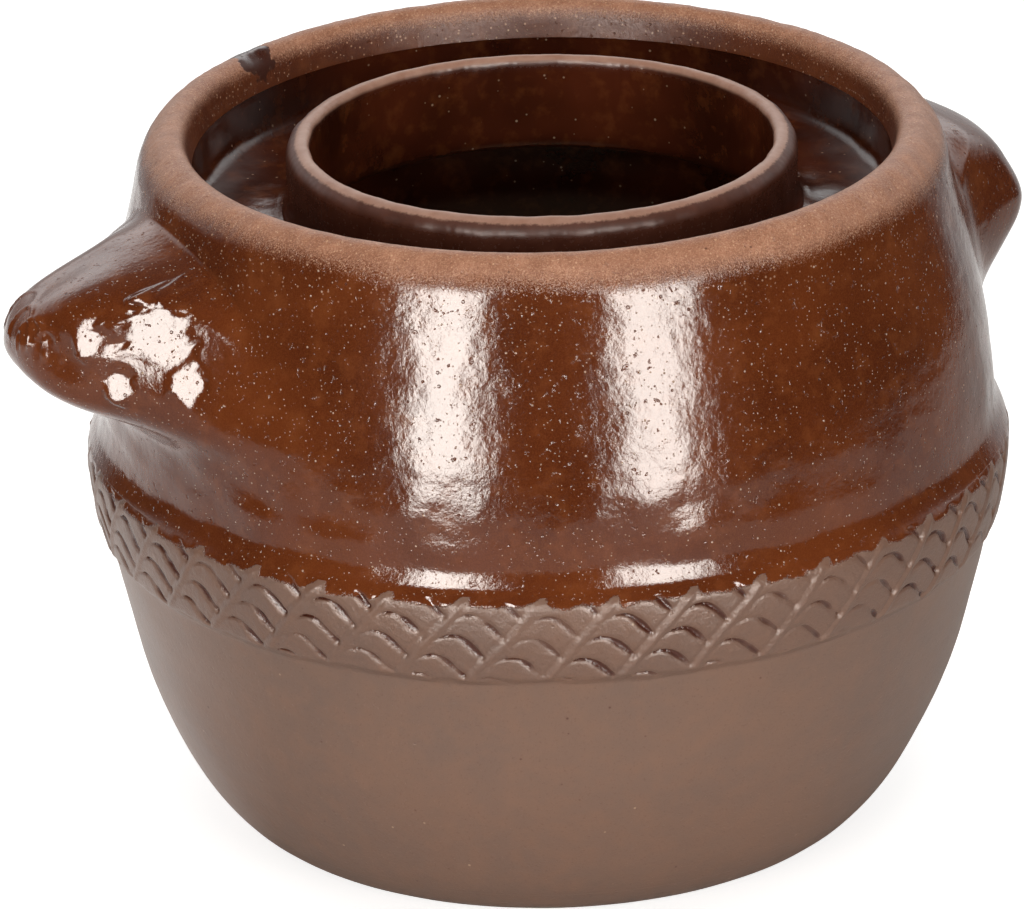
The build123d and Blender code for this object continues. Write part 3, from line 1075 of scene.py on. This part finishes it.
def make_lamp(name, azimuth, distance, height, size, power, glossy=True, diffuse=True):
    """A soft rectangular lamp that faces the crock."""
    lamp = bpy.data.lights.new(name, "AREA")
    lamp.shape = "RECTANGLE"
    lamp.size, lamp.size_y = size
    lamp.energy = power
    lamp.color = LAMP_COLOUR
    item = bpy.data.objects.new(name, lamp)
    item.location = heading(azimuth) * distance + Vector((0.0, 0.0, height))
    aim = Vector((0.0, 0.0, 0.12)) - item.location
    item.rotation_euler = aim.to_track_quat("-Z", "Y").to_euler()
    item.visible_glossy = glossy
    item.visible_diffuse = diffuse
    item.visible_camera = False
    bpy.context.scene.collection.objects.link(item)
    return item


def make_world():
    """Soft white surroundings: brightest high up behind the crock, dim in front of it."""
    world = bpy.data.worlds.new("studio")
    g = Graph(world)
    way = g.coordinates["Generated"]
    behind = g.vectors("DOT_PRODUCT", {0: way, 1: -heading(CAMERA_AZIMUTH)})
    up = g.add("SeparateXYZ", {0: way}).outputs[2]
    seen = g.add("LightPath").outputs["Is Camera Ray"]

    def ramp(value, low, high, start, end):
        return g.remap(value, low, high, start, end, "SMOOTHSTEP")

    low_part = ramp(behind, 0.66, 0.84, 0.04, 0.55)
    above = g.times(ramp(up, 0.10, 0.36, 0.0, 1.5), ramp(up, 0.44, 0.66, 1.0, 0.08))
    high_part = g.times(above, ramp(behind, 0.05, 0.6, 0.0, 1.0))
    strength = g.sums("MAXIMUM", seen, g.plus(low_part, high_part))
    background = g.add("Background", {"Color": (1.0, 1.0, 1.0, 1.0), "Strength": strength})
    g.add("OutputWorld", {0: background.outputs[0]})
    bpy.context.scene.world = world


def make_camera():
    """The photograph's viewing angle, from far off with a long lens."""
    lens = bpy.data.cameras.new("camera")
    lens.sensor_width = 36.0
    lens.lens = CAMERA_LENS
    lens.clip_end = 60.0
    camera = bpy.data.objects.new("camera", lens)
    tilt = math.radians(CAMERA_ELEVATION)
    target = Vector((0.0, 0.0, CAMERA_TARGET))
    away = heading(CAMERA_AZIMUTH) * math.cos(tilt) + Vector((0.0, 0.0, math.sin(tilt)))
    camera.location = target + away * CAMERA_DISTANCE
    aim = (-away).to_track_quat("-Z", "Y").to_matrix()
    side = aim @ Vector((1.0, 0.0, 0.0))
    aimed = (-away - side * math.tan(math.radians(SIDE_AIM))).normalized()
    turn = aimed.to_track_quat("-Z", "Y")
    camera.rotation_mode = "QUATERNION"
    roll = Vector((0.0, 0.0, 1.0))
    camera.rotation_quaternion = turn @ Quaternion(roll, math.radians(-CAMERA_ROLL))
    bpy.context.scene.collection.objects.link(camera)
    bpy.context.scene.camera = camera


make_floor()
make_world()
make_lamp("softbox_left", CAMERA_AZIMUTH - 25.0, 1.6, 0.38, (0.46, 1.0), 31.0, diffuse=False)
make_lamp("softbox_right", CAMERA_AZIMUTH + 27.0, 1.6, 0.38, (0.50, 1.0), 31.0, diffuse=False)
make_lamp("fill_left", CAMERA_AZIMUTH - 30.0, 2.1, 0.55, (1.2, 1.2), 24.0, glossy=False)
make_lamp("fill_right", CAMERA_AZIMUTH + 30.0, 2.1, 0.55, (1.2, 1.2), 24.0, glossy=False)
make_lamp("overhead", CAMERA_AZIMUTH, 0.3, 2.2, (1.6, 1.6), 30.0, glossy=False)
make_camera()
bpy.context.scene.view_settings.view_transform = "Standard"
